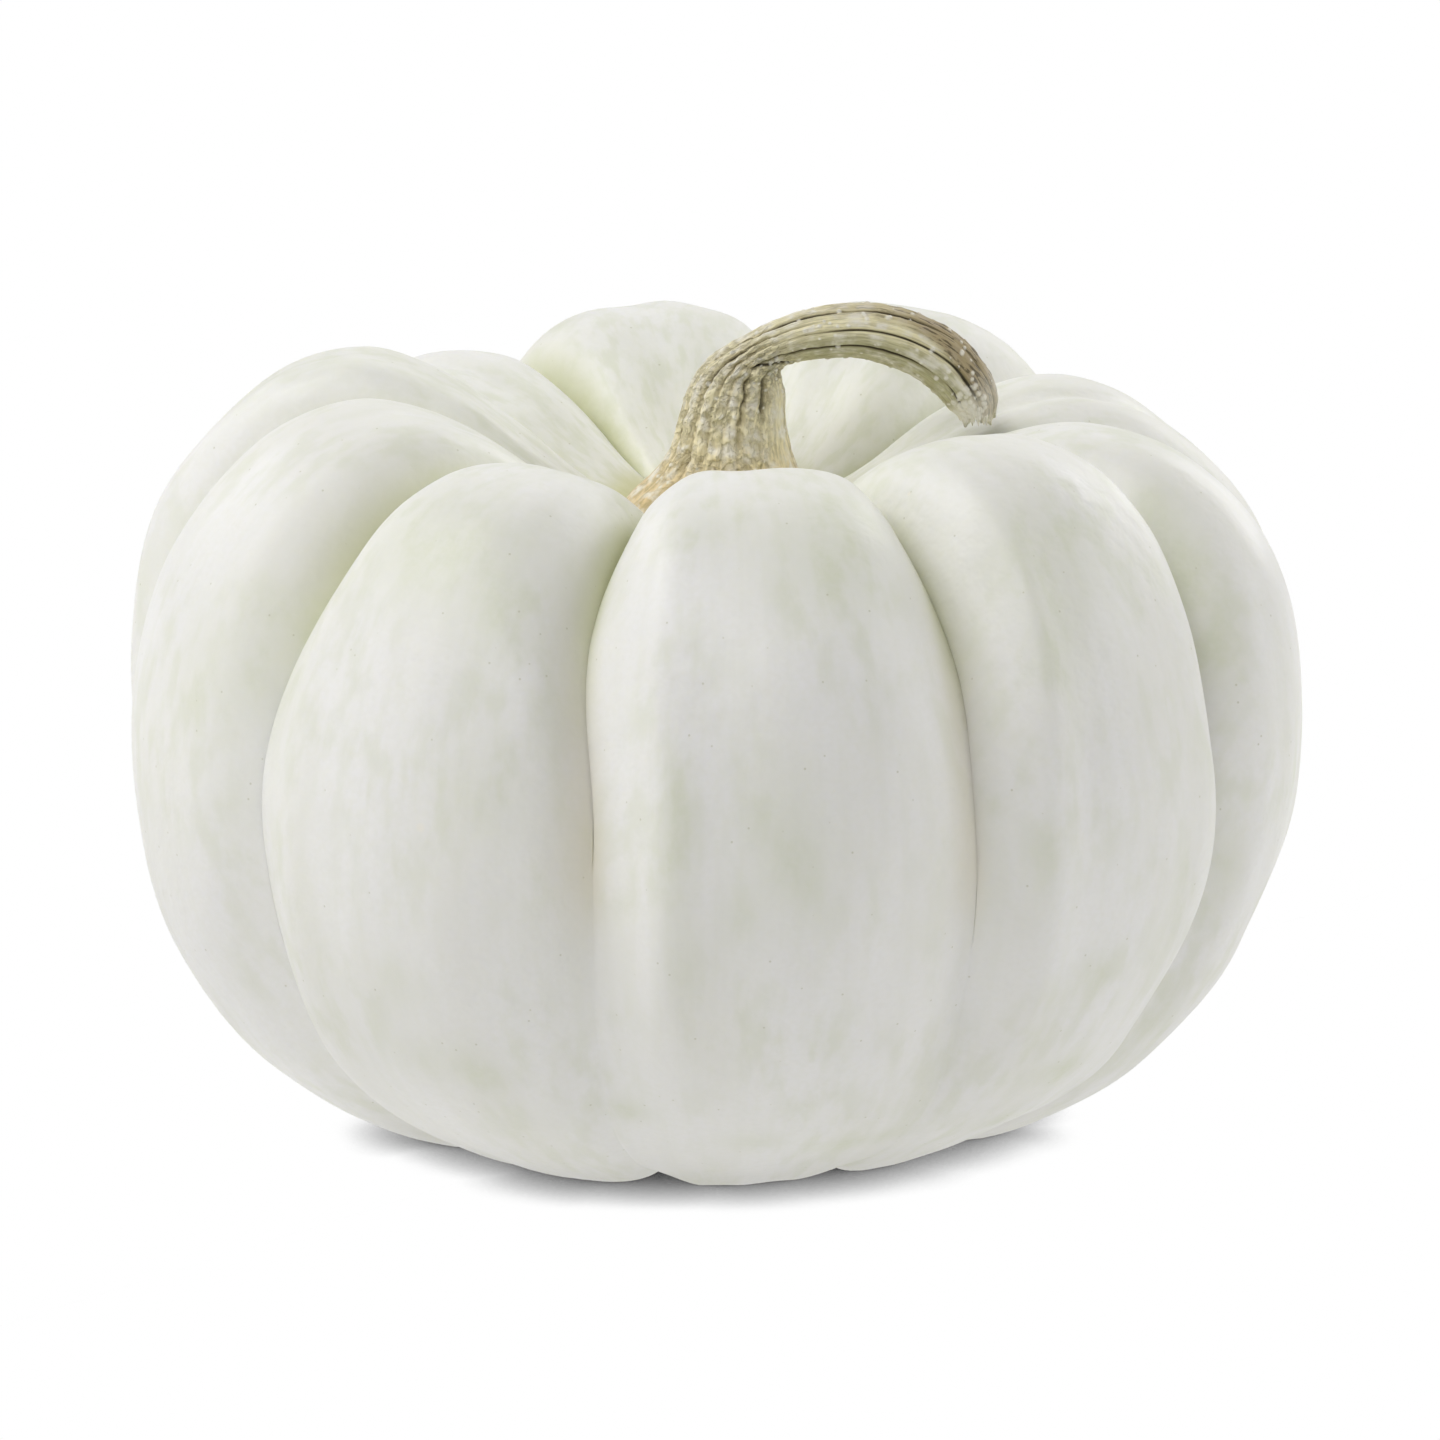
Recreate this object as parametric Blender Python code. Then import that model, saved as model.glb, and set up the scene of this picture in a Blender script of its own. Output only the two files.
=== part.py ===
"""A small white ribbed pumpkin with its dried stalk.

Two pieces: the fruit, whose ten unequal ribs stand round a hollow crown, and the stalk, which
rises from a flat seat in that hollow, folds over and hangs down to its cut end.
Metres, +Z up, the front of the fruit towards -Y. The fruit stands on the flats under its ribs,
at z = 0, and the origin is under the middle of the whole.
"""

import math
from collections import namedtuple

import bmesh
import bpy
import numpy as np

MM = 0.001

# Driving sizes of the fruit: half its width over the widest ribs, and the height of its crown
EQUATOR_RADIUS = 45.0 * MM
CROWN_HEIGHT = 57.0 * MM
# Where the fruit's own axis stands, so that the middle of the whole is over the origin
FRUIT_AXIS = (0.8 * MM, 0.0)

# The line over the middle of a rib, and the line down the furrow between two ribs. Both run from the
# stalk's seat over the crown and round to the blossom scar, point beside point. Each point is its
# share of the equator radius from the axis, and its share of the crown height.
RIB_LINE = (
    (0.164, 0.823),
    (0.280, 0.879),
    (0.431, 0.963),
    (0.589, 1.000),
    (0.769, 0.949),
    (0.924, 0.789),
    (1.000, 0.553),
    (0.942, 0.319),
    (0.753, 0.130),
    (0.422, -0.009),
    (0.222, 0.035),
    (0.089, 0.056),
)
FURROW_LINE = (
    (0.164, 0.823),
    (0.276, 0.830),
    (0.418, 0.847),
    (0.564, 0.849),
    (0.720, 0.800),
    (0.858, 0.674),
    (0.916, 0.518),
    (0.869, 0.330),
    (0.724, 0.142),
    (0.433, 0.018),
    (0.222, 0.044),
    (0.089, 0.056),
)
# Where along these lines, from 0 to 1, the parts of a rib lie that the table below moves
CROWN, UPPER, EQUATOR, SHOULDER, LOWER = 0.27, 0.45, 0.545, 0.70, 0.79

# One rib: the angles in degrees, round from the front, at which it starts above, at and below the
# equator; its reach at the equator as a share; in millimetres, how far its crown stands up and how
# far its parts from the crown down stand out; how steep its two walls are at the crown, as shares;
# and how far its left and right corners stand out, in millimetres
Rib = namedtuple(
    "Rib",
    "start_upper start start_lower reach crown_up crown_out upper_out shoulder_out lower_out"
    " left_wall right_wall left_corner right_corner",
)
# The ribs in turn from the front one round to the right
RIBS = (
    Rib(-15.4, -13.3, -13.6, 1.000, -0.8, -0.5, 0.0, -0.9, -0.9, 1.0, 1.0, 0.75, 0.00),
    Rib(27.4, 26.2, 26.8, 0.990, 0.2, 0.5, 0.6, -0.6, -1.2, 0.0, 1.0, 1.00, 0.30),
    Rib(63.8, 63.2, 61.5, 0.976, -2.1, 1.4, 1.8, -0.3, 2.3, 1.0, 1.0, 0.30, 0.30),
    Rib(92.0, 92.0, 92.0, 0.978, -1.8, 0.0, 0.6, -0.5, 1.0, 1.0, 0.0, 0.30, 0.30),
    Rib(128.0, 128.0, 128.0, 1.000, 1.0, -0.8, 0.0, 0.0, 0.0, 0.0, 1.0, 0.30, 0.30),
    Rib(170.0, 170.0, 170.0, 1.000, 0.2, 0.0, 0.0, 0.0, 0.0, 1.0, 1.0, 0.30, 0.30),
    Rib(213.6, 213.0, 212.5, 0.980, -1.9, 0.0, 0.0, 0.0, 0.0, 1.0, 1.0, 0.30, 0.30),
    Rib(244.0, 241.0, 240.0, 1.018, 0.4, 2.0, 2.3, 0.0, 0.0, 1.0, 1.0, 0.30, 0.30),
    Rib(270.0, 270.0, 270.0, 1.003, 0.0, 1.0, 1.2, 1.6, 2.6, 1.0, 1.0, 0.30, 0.30),
    Rib(308.3, 307.2, 304.8, 0.990, -1.5, 0.3, 0.0, 1.0, 0.3, 1.0, 0.2, 0.50, -0.10),
)
# Half of the columns of points across a rib, from its first furrow, at -1, to its middle, at 0
ACROSS_HALF = (-1.0, -0.96, -0.86, -0.70, -0.50, -0.26)
FRUIT_ROWS = 34

# The stalk stands this far above its seat on the fruit
SEAT_GAP = 0.3 * MM
SEAT_HEIGHT = RIB_LINE[0][1] * CROWN_HEIGHT

# Cuts through the stalk from its foot to its end: x and z of its left or upper side, x and z of its
# right or under side, and half its depth from front to back, in millimetres from the fruit's axis.
# The cuts fan out round the fold at x = 5, z = 58. The foot's own height is the seat's.
STALK_CUTS_MM = (
    (-6.9, 47.2, 6.9, 47.2, 6.9),
    (-5.8, 48.9, 6.6, 48.6, 6.0),
    (-4.6, 50.7, 6.0, 50.3, 4.9),
    (-3.7, 52.4, 5.5, 52.1, 4.2),
    (-3.0, 55.0, 5.1, 54.5, 3.7),
    (-2.3, 57.1, 4.9, 56.3, 3.4),
    (-1.4, 58.8, 4.7, 57.5, 3.1),
    (0.5, 60.4, 4.6, 58.2, 2.7),
    (3.1, 61.7, 5.3, 58.6, 2.3),
    (6.1, 62.7, 6.9, 59.0, 2.15),
    (8.5, 63.15, 8.8, 59.15, 2.15),
    (10.8, 63.3, 10.9, 59.0, 2.2),
    (13.4, 62.9, 12.8, 58.4, 2.3),
    (15.8, 62.0, 14.6, 57.5, 2.35),
    (18.0, 60.7, 16.0, 56.4, 2.35),
    (19.5, 59.0, 16.8, 55.5, 2.25),
    (20.5, 57.3, 17.2, 54.9, 2.1),
    (21.0, 55.7, 17.6, 54.5, 1.95),
    (20.7, 54.1, 18.1, 53.9, 1.8),
)
STALK_SWAY = 0.8 * MM  # how far the arch leans to the front
STALK_ROWS = 34
STALK_RIDGES = 12
POINTS_A_RIDGE = 4
RIDGE_RELIEF = 0.09  # height of a ridge, as a share of the stalk's half width

FRUIT_SKIN = ("waxy_skin", (0.79, 0.79, 0.72), 0.42)
DRIED_STALK = ("dried_stalk", (0.45, 0.38, 0.24), 0.8)


def smooth_line(points, along):
    """The smooth line through the points, read at each share of its way, from 0 to 1."""
    points = np.asarray(points, float)
    stretches = len(points) - 1
    place = np.clip(along, 0, 1) * stretches
    first = np.minimum(place.astype(int), stretches - 1)
    f = (place - first)[..., None]
    before = 2 * points[0] - points[1]
    after = 2 * points[-1] - points[-2]
    padded = np.vstack([before, points, after])
    a, b, c, d = (padded[first + i] for i in range(4))
    bend = 2 * a - 5 * b + 4 * c - d
    twist = 3 * b - 3 * c + d - a
    return b + 0.5 * ((c - a) * f + bend * f**2 + twist * f**3)


def ramp(start, end, x):
    """0 before start, 1 after end, and a smooth rise between them."""
    f = np.clip((x - start) / (end - start), 0, 1)
    return f * f * (3 - 2 * f)


def bell(x, middle, width):
    return np.exp(-(((x - middle) / width) ** 2))


def rib_share(across, along, wall):
    """How far the skin stands from the furrow line, at 0, towards the rib line, at 1.

    Near the crown the ribs press against each other, so their walls are steep and the furrow is a
    tight crease. Below the equator it opens into a soft valley.
    """
    soft = 0.10 + 0.08 * ramp(0.56, 0.70, along)
    inside = 1 - np.abs(across)
    inside = np.sqrt(inside**2 + soft**2) - soft
    inside = inside / (np.sqrt(1 + soft**2) - soft)
    crown = bell(along, 0.22, 0.17)
    foot = bell(along, 0.82, 0.10)
    roundness = 2.4 + 0.6 * crown
    steepness = 1.45 + 2.0 * wall * crown + 0.8 * foot
    return (1 - np.clip(1 - inside, 0, 1) ** roundness) ** (1 / steepness)


def furrow_angle(number, along):
    """The angle, in degrees round from the front, of the furrow at which a rib starts."""
    upper, lower = ramp(0.52, 0.38, along), ramp(0.56, 0.70, along)
    starts = np.array([(rib.start_upper, rib.start, rib.start_lower) for rib in RIBS])
    above, level, below = (column[number % len(RIBS)] for column in starts.T)
    lap = 360.0 * (number // len(RIBS))
    return lap + above * upper + level * (1 - upper - lower) + below * lower


def fruit_points(number, across, along):
    """Points of the skin: rib by number, across from -1 to 1, along from the seat to the scar."""
    rib = Rib(*(np.array(column)[number] for column in zip(*RIBS)))
    first, second = furrow_angle(number, along), furrow_angle(number + 1, along)
    angle = np.radians(first + (second - first) * (across + 1) / 2)
    size = np.array((EQUATOR_RADIUS, CROWN_HEIGHT))
    ridge = smooth_line(RIB_LINE, along) * size
    furrow = smooth_line(FURROW_LINE, along) * size
    crown = bell(along, CROWN, 0.14)
    ridge_out = ridge[..., 0] * (1 + (rib.reach - 1) * bell(along, EQUATOR, 0.24))
    ridge_out += MM * (rib.crown_out * crown + rib.shoulder_out * bell(along, SHOULDER, 0.10))
    ridge_out += MM * (rib.upper_out * bell(along, UPPER, 0.08) + rib.lower_out * bell(along, LOWER, 0.07))
    ridge_up = ridge[..., 1] + MM * rib.crown_up * crown
    left = across < 0
    share = rib_share(across, along, np.where(left, rib.left_wall, rib.right_wall))
    # Each rib turns from its flanks to its front over a soft corner
    flank = ramp(0.22, 0.40, along) * ramp(0.72, 0.58, along)
    corner = MM * np.where(left, rib.left_corner, rib.right_corner)
    corner = corner * bell(1 - np.abs(across), 0.37, 0.15) * flank
    out = furrow[..., 0] + (ridge_out - furrow[..., 0]) * share + corner
    up = furrow[..., 1] + (ridge_up - furrow[..., 1]) * share
    up = np.maximum(up + 0.35 * corner * ramp(0.5, 0.35, along), 0)
    x = FRUIT_AXIS[0] + out * np.sin(angle)
    y = FRUIT_AXIS[1] - out * np.cos(angle)
    return np.stack([x, y, up], axis=-1)


def fruit_rings():
    half = ACROSS_HALF + (0.0,) + tuple(-a for a in reversed(ACROSS_HALF[1:]))
    number, across = np.meshgrid(np.arange(len(RIBS)), half, indexing="ij")
    along = np.linspace(0, 1, FRUIT_ROWS)
    return fruit_points(number.ravel()[None, :], across.ravel()[None, :], along[:, None])


def stalk_rings():
    cuts = smooth_line(STALK_CUTS_MM, np.linspace(0, 1, STALK_ROWS)) * MM
    upper, under, depth = cuts[:, 0:2], cuts[:, 2:4], cuts[:, 4]
    turn = np.linspace(0, 2 * math.pi, STALK_RIDGES * POINTS_A_RIDGE, endpoint=False)
    # Every second ridge is stronger
    wave = np.cos(STALK_RIDGES * turn) * (1 + 0.35 * np.cos(STALK_RIDGES / 2 * turn))
    size = 1 + RIDGE_RELIEF * (wave - 1) / 2
    sway = STALK_SWAY * np.sin(math.pi * np.linspace(0, 1, STALK_ROWS))
    middle, half = (upper + under) / 2, (upper - under) / 2
    swing = (size * np.cos(turn))[None, :]
    x = FRUIT_AXIS[0] + middle[:, :1] + half[:, :1] * swing
    z = middle[:, 1:] + half[:, 1:] * swing
    y = FRUIT_AXIS[1] - sway[:, None] + depth[:, None] * size * np.sin(turn)
    rings = np.stack([x, y, z], axis=-1)
    rings[0, :, 2] = SEAT_HEIGHT + SEAT_GAP
    return rings


def closed_loft(name, rings, material):
    """One closed body through the rings, which are closed at both ends by fans to their middles."""
    bm = bmesh.new()
    loops = [[bm.verts.new(point) for point in ring] for ring in rings]
    for low, high in zip(loops, loops[1:]):
        for i, corner in enumerate(low):
            bm.faces.new((corner, low[i - 1], high[i - 1], high[i]))
    for loop in (loops[0], loops[-1]):
        middle = bm.verts.new(np.mean([v.co for v in loop], axis=0))
        for i, corner in enumerate(loop):
            bm.faces.new((corner, loop[i - 1], middle))
    bmesh.ops.recalc_face_normals(bm, faces=bm.faces)
    mesh = bpy.data.meshes.new(name)
    bm.to_mesh(mesh)
    bm.free()
    mesh.shade_smooth()
    mesh.set_sharp_from_angle(angle=math.radians(60))
    mesh.materials.append(material)
    made = bpy.data.objects.new(name, mesh)
    bpy.context.scene.collection.objects.link(made)
    return made


def plain_finish(name, colour, roughness):
    material = bpy.data.materials.new(name)
    material.use_nodes = True
    shader = material.node_tree.nodes["Principled BSDF"]
    shader.inputs["Base Color"].default_value = (*colour, 1)
    shader.inputs["Roughness"].default_value = roughness
    shader.inputs["Metallic"].default_value = 0
    return material


def main():
    for old in list(bpy.data.objects):
        bpy.data.objects.remove(old, do_unlink=True)
    closed_loft("fruit", fruit_rings(), plain_finish(*FRUIT_SKIN))
    closed_loft("stem", stalk_rings(), plain_finish(*DRIED_STALK))


main()
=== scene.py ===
"""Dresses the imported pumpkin: its waxy white skin, its dried stalk, and the plain studio it stands in.

The file is laid out as a Blender add-on. Lengths are in metres unless a name ends in _MM, +Z is up,
and the front of the fruit is towards -Y.
"""

import math
from collections import namedtuple

import bpy
import numpy as np
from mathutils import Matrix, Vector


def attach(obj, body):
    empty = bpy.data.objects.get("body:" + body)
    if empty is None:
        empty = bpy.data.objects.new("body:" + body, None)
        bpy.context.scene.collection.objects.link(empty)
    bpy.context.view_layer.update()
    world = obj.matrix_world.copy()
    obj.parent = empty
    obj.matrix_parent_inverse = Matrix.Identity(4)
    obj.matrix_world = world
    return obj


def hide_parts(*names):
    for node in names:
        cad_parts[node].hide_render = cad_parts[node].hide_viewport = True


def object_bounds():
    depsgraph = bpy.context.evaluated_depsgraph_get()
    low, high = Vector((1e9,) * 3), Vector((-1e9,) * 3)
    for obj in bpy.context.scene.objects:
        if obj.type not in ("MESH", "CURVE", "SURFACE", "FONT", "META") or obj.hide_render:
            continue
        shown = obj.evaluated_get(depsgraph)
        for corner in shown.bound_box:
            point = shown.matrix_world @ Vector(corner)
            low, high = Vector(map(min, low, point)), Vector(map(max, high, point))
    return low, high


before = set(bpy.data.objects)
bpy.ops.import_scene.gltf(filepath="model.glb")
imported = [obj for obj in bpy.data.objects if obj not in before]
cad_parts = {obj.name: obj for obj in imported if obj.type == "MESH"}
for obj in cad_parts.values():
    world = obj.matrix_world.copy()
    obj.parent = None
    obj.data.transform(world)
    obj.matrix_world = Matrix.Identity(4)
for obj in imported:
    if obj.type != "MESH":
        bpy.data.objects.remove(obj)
CAD_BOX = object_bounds()

bl_info = {
    "name": "White Pumpkin",
    "version": (1, 0, 0),
    "blender": (4, 5, 0),
    "location": "3D View > Sidebar > Pumpkin",
    "description": "Models a small white pumpkin with its dried stalk, and lights it softly",
    "category": "Add Mesh",
}

MM = 0.001
# Points nearer than this are sewn together where a sheet is rolled up
SEAM_GAP = 0.0002 * MM

# The fruit's own axis, and the two driving sizes that the profile lines below are shares of
FRUIT_AXIS = (0.8 * MM, 0.0)
EQUATOR_RADIUS = 45.0 * MM
CROWN_HEIGHT = 57.0 * MM
# Half way between furrow and rib at the equator, and the way from the seat round to the scar, for
# patterns that follow the skin
MEAN_RADIUS = 43.0 * MM
SKIN_LENGTH = 155.0 * MM

# The line over the middle of a rib and the line down a furrow, from the stalk's seat over the crown
# and round to the blossom scar, point beside point: (share of the equator radius, share of the height)
RIB_LINE = (
    (0.164, 0.823),
    (0.280, 0.879),
    (0.431, 0.963),
    (0.589, 1.000),
    (0.769, 0.949),
    (0.924, 0.789),
    (1.000, 0.553),
    (0.942, 0.319),
    (0.753, 0.130),
    (0.422, -0.009),
    (0.222, 0.035),
    (0.089, 0.056),
)
FURROW_LINE = (
    (0.164, 0.823),
    (0.276, 0.830),
    (0.418, 0.847),
    (0.564, 0.849),
    (0.720, 0.800),
    (0.858, 0.674),
    (0.916, 0.518),
    (0.869, 0.330),
    (0.724, 0.142),
    (0.433, 0.018),
    (0.222, 0.044),
    (0.089, 0.056),
)
# Where along these lines, from 0 to 1, the parts of a rib lie that the table below moves
CROWN, UPPER, EQUATOR, SHOULDER, LOWER = 0.27, 0.45, 0.545, 0.70, 0.79

# One rib: the angles in degrees, round from the front, at which it starts above, at and below the
# equator; its reach at the equator as a share; in millimetres, how far its crown stands up and how
# far its parts from the crown down stand out; how steep its two walls are at the crown, as shares;
# and how far its left and right corners stand out, in millimetres
Rib = namedtuple(
    "Rib",
    "start_upper start start_lower reach crown_up crown_out upper_out shoulder_out lower_out"
    " left_wall right_wall left_corner right_corner",
)
# The ribs in turn from the front one round to the right
RIBS = (
    Rib(-15.4, -12.7, -13.6, 1.000, -0.8, -0.5, 0.0, -0.9, -0.9, 1.0, 1.0, 0.75, 0.00),
    Rib(27.9, 26.2, 26.6, 0.990, 0.2, 0.5, 0.6, -0.6, -1.2, 0.4, 1.0, 1.10, 0.30),
    Rib(63.8, 60.8, 57.5, 0.990, -1.9, 1.2, 1.6, -0.2, 1.5, 1.0, 1.0, 0.30, 0.30),
    Rib(88.0, 88.0, 86.0, 0.990, -1.8, 0.5, 0.8, -0.5, 1.0, 1.0, 0.0, 0.30, 0.30),
    Rib(128.0, 128.0, 128.0, 1.000, 1.2, -0.6, 0.0, 0.0, 0.0, 0.2, 1.0, 0.30, 0.30),
    Rib(170.0, 170.0, 170.0, 1.000, 0.2, 0.0, 0.0, 0.0, 0.0, 1.0, 1.0, 0.30, 0.30),
    Rib(213.6, 213.0, 212.5, 0.980, -1.9, 0.0, 0.0, 0.0, 0.0, 1.0, 1.0, 0.30, 0.30),
    Rib(244.0, 241.0, 240.0, 1.012, 0.9, 1.9, 2.1, 0.0, 0.0, 1.0, 1.0, 0.30, 0.30),
    Rib(270.0, 270.0, 270.0, 1.001, 0.0, 1.0, 1.2, 1.1, 2.8, 1.0, 1.0, 0.30, 0.30),
    Rib(308.3, 307.2, 304.8, 0.990, -1.5, 0.3, 0.0, 1.0, 0.3, 1.0, 0.2, 0.50, -0.10),
)

# How soft the bottom of a furrow is, and how much softer low down; how round a rib is, and how much
# rounder at the crown; how steep its walls are, and how much steeper at the crown and at its foot
FURROW_SOFT, FURROW_SOFTER_LOW = 0.10, 0.08
RIB_ROUND, RIB_ROUNDER_CROWN = 2.4, 0.6
WALL_STEEP, WALL_STEEPER_CROWN, WALL_STEEPER_FOOT = 1.45, 2.0, 0.8
# How far the tint in a furrow reaches up the rib on its left and on its right, across the rib
TINT_REACH_LEFT, TINT_REACH_RIGHT = 0.15, 0.06
# How far the rim and the nub of the blossom scar stand out, in millimetres
SCAR_RIM_MM, SCAR_NUB_MM = 0.25, 0.9
# Points of the fruit's mesh: columns on each rib, rows on the seat, on the ribs and on the scar
RIB_COLUMNS = 42
SEAT_ROWS, RIB_ROWS, SCAR_ROWS = 6, 204, 18

# Pale dots of scar tissue on the skin: (rib, place across it, place along it, radius in millimetres)
PALE_DOTS = (
    (9, 0.19, 0.532, 0.55),
    (0, 0.19, 0.506, 0.22),
    (0, 0.19, 0.521, 0.26),
    (0, 0.18, 0.537, 0.24),
    (0, 0.21, 0.559, 0.20),
    (0, 0.19, 0.577, 0.22),
    (1, -0.24, 0.445, 0.28),
    (1, -0.80, 0.271, 0.24),
    (4, 0.10, 0.470, 0.30),
    (6, -0.30, 0.610, 0.26),
)

# Dents and folds on the ribs: (rib, place across it, place along it, half width across, half length
# along, depth in millimetres, or height if negative)
DENTS = (
    (3, -0.28, 0.30, 0.14, 0.13, 1.0),
    (3, -0.10, 0.37, 0.50, 0.06, 0.8),
    (2, 0.50, 0.628, 0.60, 0.030, 0.7),
    (1, 0.62, 0.64, 0.07, 0.12, 0.12),
    (0, 0.42, 0.60, 0.10, 0.14, 0.10),
    (6, 0.20, 0.30, 0.15, 0.15, 0.6),
    (1, -0.82, 0.43, 0.11, 0.13, -0.6),
    (1, -1.00, 0.45, 0.10, 0.12, -0.9),
    (0, 1.00, 0.45, 0.07, 0.12, -0.9),
    (0, -1.00, 0.43, 0.07, 0.10, -0.6),
    (9, 1.00, 0.43, 0.09, 0.10, -0.6),
    (8, 0.98, 0.47, 0.32, 0.11, -1.3),
    (9, -0.98, 0.47, 0.20, 0.11, -1.3),
)

# Soft green patches: (rib, place across it, place along it, half width and half height in millimetres,
# strength)
GREEN_PATCHES = (
    (9, -0.02, 0.384, 7.3, 3.8, 1.0),
    (9, 0.50, 0.420, 2.5, 4.6, 0.6),
    (9, 0.50, 0.514, 3.3, 3.8, 0.5),
    (9, 0.05, 0.616, 2.2, 2.3, 0.5),
    (9, 0.12, 0.660, 3.5, 1.9, 0.5),
    (8, 0.86, 0.470, 5.2, 3.8, 0.7),
    (8, 0.85, 0.541, 2.6, 3.1, 0.4),
    (8, 0.89, 0.422, 5.1, 3.1, 0.5),
    (0, 0.29, 0.384, 4.7, 4.6, 0.9),
    (0, 0.53, 0.330, 4.9, 2.3, 0.7),
    (0, -0.57, 0.514, 1.2, 8.5, 0.9),
    (0, -0.06, 0.523, 3.1, 5.4, 0.7),
    (0, -0.41, 0.346, 3.1, 2.3, 0.6),
    (0, -0.84, 0.699, 1.9, 1.5, 0.9),
    (0, -0.10, 0.721, 2.3, 1.5, 0.9),
    (0, 0.83, 0.735, 2.5, 1.2, 0.8),
    (0, 0.16, 0.633, 1.2, 2.3, 0.5),
    (1, -0.42, 0.398, 5.8, 5.4, 0.7),
    (1, -0.49, 0.447, 2.4, 3.1, 0.5),
    (1, -0.19, 0.618, 1.8, 2.7, 0.8),
    (1, -0.17, 0.685, 3.1, 1.5, 0.7),
    (1, -0.96, 0.537, 1.2, 4.6, 0.4),
    (1, 0.38, 0.583, 1.2, 2.6, 0.7),
    (1, 0.03, 0.690, 2.0, 1.6, 0.8),
    (1, -0.68, 0.542, 1.3, 3.2, 0.6),
    (1, -0.12, 0.735, 2.4, 1.2, 0.7),
    (0, -0.25, 0.565, 1.4, 2.4, 0.6),
    (0, 0.03, 0.545, 1.8, 2.6, 0.6),
    (0, -0.50, 0.593, 1.3, 2.4, 0.5),
    (0, 0.40, 0.735, 2.2, 1.2, 0.8),
    (9, 0.43, 0.670, 2.0, 1.4, 0.6),
    (2, -0.78, 0.365, 1.8, 3.2, 1.0),
    (2, -0.84, 0.400, 2.0, 3.6, 1.0),
    (2, -0.84, 0.450, 2.2, 4.0, 0.6),
    (2, -0.85, 0.588, 1.8, 3.4, 0.8),
    (2, -0.75, 0.682, 1.8, 2.4, 0.8),
)
# The ribs that the photograph hides get patches like these at random: on which ribs, from the first
# up to the one before the last, how many, and the seed of the draw
HIDDEN_RIBS, HIDDEN_PATCHES, PATCH_SEED = (2, 8), 34, 61

# Cuts through the stalk from its foot to its end: x and z of its left or upper side, x and z of its
# right or under side, and half its depth, in millimetres from the fruit's axis
STALK_CUTS_MM = (
    (-6.9, 47.2, 6.9, 47.2, 6.9),
    (-5.8, 48.9, 6.6, 48.6, 6.0),
    (-4.6, 50.7, 5.9, 50.3, 4.9),
    (-3.7, 52.4, 5.3, 52.1, 4.2),
    (-3.0, 55.0, 4.9, 54.5, 3.7),
    (-2.3, 57.1, 4.9, 56.3, 3.4),
    (-1.3, 58.6, 4.6, 57.5, 3.1),
    (0.6, 60.1, 4.6, 58.2, 2.7),
    (3.1, 61.5, 5.3, 58.6, 2.3),
    (6.1, 62.7, 6.9, 59.0, 2.15),
    (8.5, 63.15, 8.8, 59.15, 2.15),
    (10.8, 63.3, 10.9, 59.0, 2.2),
    (13.4, 62.9, 12.8, 58.4, 2.3),
    (15.8, 62.0, 14.6, 57.5, 2.35),
    (18.0, 60.7, 16.0, 56.4, 2.35),
    (19.5, 59.0, 16.8, 55.5, 2.25),
    (20.5, 57.4, 17.2, 55.0, 2.1),
    (20.9, 55.9, 17.6, 54.7, 1.95),
    (20.7, 54.3, 18.1, 54.1, 1.8),
)
STALK_SWAY = 0.8 * MM
# Where along the stalk, from 0 to 1, the foot ends, the fold lies and the arch begins
FOOT_TOP, FOLD, ARCH = 0.16, 0.38, 0.47
# The foot has grown on, so it runs this far into the skin
FOOT_DEPTH = 0.5 * MM
# The grooves between the stalk's ridges: (degrees round from its left or upper side on the column and
# on the arch, depth on the column and depth on the arch as shares). The front of the stalk is at -90.
STALK_GROOVES = (
    (-172, -165, 0.5, 0.4),
    (-122, -136, 1.0, 0.3),
    (-96, -112, 1.0, 1.2),
    (-79, -95, 0.8, 0.3),
    (-65, -77, 1.0, 1.3),
    (-46, -53, 1.1, 0.4),
    (-20, -29, 0.9, 1.1),
    (8, -6, 0.7, 0.3),
    (35, 30, 0.9, 0.8),
    (60, 58, 0.9, 0.5),
    (84, 84, 1.0, 0.9),
    (108, 108, 1.0, 0.7),
    (136, 136, 0.9, 0.8),
    (162, 162, 0.9, 0.6),
)
# The crease that runs in under the arch from its corner: where along the stalk it starts at the
# front's middle, how much farther it lies at the under side, its half width and its depth
CREASE_START, CREASE_RISE, CREASE_WIDTH, CREASE_DEPTH = 0.375, 0.18, 0.009, 0.24 * MM
# How deep the split near the end is, how high the crust and the crumbs stand, how far the foot
# spreads over the seat on its left, and how ragged the torn end is
SPLIT_DEPTH, CRUST_HEIGHT, CRUMB_HEIGHT = 0.4 * MM, 0.16 * MM, 0.06 * MM
FOOT_SPREAD, END_RAGGED = 1.0 * MM, 0.35 * MM
# The way that the cut end faces
END_WAY = (0.16, 0, -0.99)
# The stalk's mean radius and its length, for patterns that follow its fibres
FIBRE_RADIUS, FIBRE_LENGTH = 2.6 * MM, 42 * MM
# Bristle bumps: how many, the first and last place along the stalk, whether only on the side that
# faces front, and their size as a share
BRISTLES = (
    (160, 0.06, 0.50, False, 1.0),
    (150, 0.50, 0.97, False, 1.0),
    (60, 0.84, 0.985, True, 1.4),
)
# The seed of their draw, and the rows of the mesh on either side that one bump can reach
BRISTLE_SEED, BRISTLE_ROWS = 53, 12
# Points of the stalk's mesh: columns round it, rows along it and rows on its cut end
STALK_COLUMNS, STALK_ROWS, CUT_ROWS = 192, 496, 12

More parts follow.
